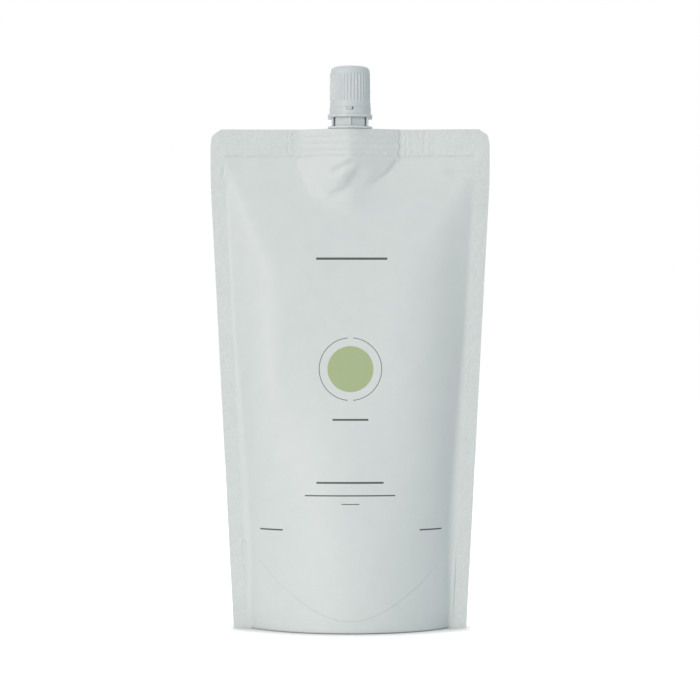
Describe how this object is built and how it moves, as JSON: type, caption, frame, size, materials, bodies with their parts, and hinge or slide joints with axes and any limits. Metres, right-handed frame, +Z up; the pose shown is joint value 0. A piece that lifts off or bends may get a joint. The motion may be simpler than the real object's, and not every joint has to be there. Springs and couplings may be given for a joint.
{
  "type": "hand soap refill pack",
  "caption": "Stand-up film pouch filled with liquid hand soap, with a corner-rounded top seal, a welded centre spout and a ribbed screw cap over a tamper band.",
  "frame": {"origin": "middle of the base, on the floor", "axes": "+Z up along the spout, front face towards -Y, +X to the right when seen from the front"},
  "size_m": [0.13, 0.0578, 0.2621],
  "materials": {
    "film": "matt laminated film, pale cool grey",
    "moulded": "satin moulded polyethylene, pale cool grey",
    "liner": "soft white foam disc"
  },
  "bodies": {
    "pack": {"pouch": "film", "spout": "moulded", "tamper_band": "moulded"},
    "liner": {"cap_liner": "liner"},
    "cap": {"cap": "moulded"}
  },
  "joints": [
    {"name": "cap_rise", "type": "slide", "parent": "pack", "child": "liner", "axis": [0, 0, 1], "range_m": [0, 0.006]},
    {"name": "cap_turn", "type": "hinge", "parent": "liner", "child": "cap", "pos_m": [0, 0, 0.25], "axis": [0, 0, 1], "range_deg": [0, 720]}
  ],
  "couplings": [
    {"joint": "cap_rise", "follows": "cap_turn", "m_per_rad": 0.00047746}
  ]
}
